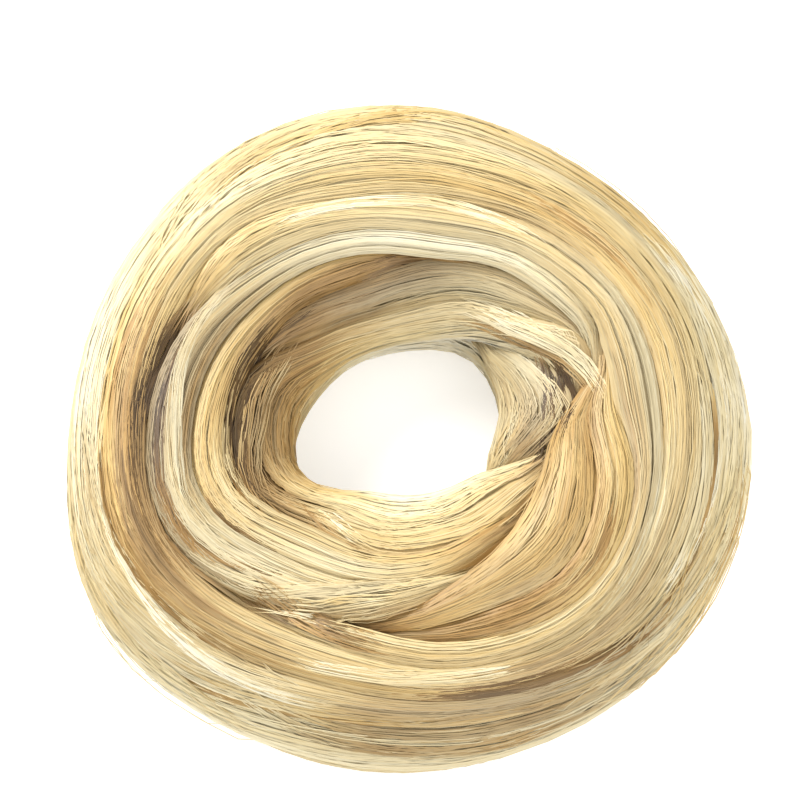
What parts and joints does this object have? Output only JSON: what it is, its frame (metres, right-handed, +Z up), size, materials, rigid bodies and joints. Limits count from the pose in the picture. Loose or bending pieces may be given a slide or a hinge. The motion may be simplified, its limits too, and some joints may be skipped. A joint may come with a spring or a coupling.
{
  "type": "wrap-on top knot hairpiece ring",
  "caption": "Low oval ring of straight coiled hair locks round an off-centre hole, with an elastic loop sunk in its flat underside.",
  "frame": {"origin": "centre of the ring's box, on the surface that it lies on", "axes": "+Z up through the hole, +X to the right and +Y away from the viewer of the picture"},
  "size_m": [0.1286, 0.1308, 0.0357],
  "materials": {
    "hair_golden": "satin straight fibres",
    "hair_bright": "glossy straight fibres",
    "hair_ash": "satin straight fibres",
    "hair_pale": "satin straight fibres",
    "hair_deep": "satin straight fibres",
    "elastic": "matt covered elastic"
  },
  "bodies": {
    "root": {"inner_coil": "hair_deep", "elastic_loop": "elastic", "hole_wall_lock": "hair_deep", "right_wall_lock": "hair_pale", "rim_lock": "hair_bright", "upper_wall_lock": "hair_ash", "inner_lock": "hair_deep", "ash_lock": "hair_ash", "fan_left_lock": "hair_golden", "fan_right_lock": "hair_golden", "inner_crest_lock": "hair_ash", "outer_crest_lock": "hair_golden", "flank_lock": "hair_pale", "low_flank_lock": "hair_golden", "foot_lock": "hair_deep"}
  },
  "joints": []
}
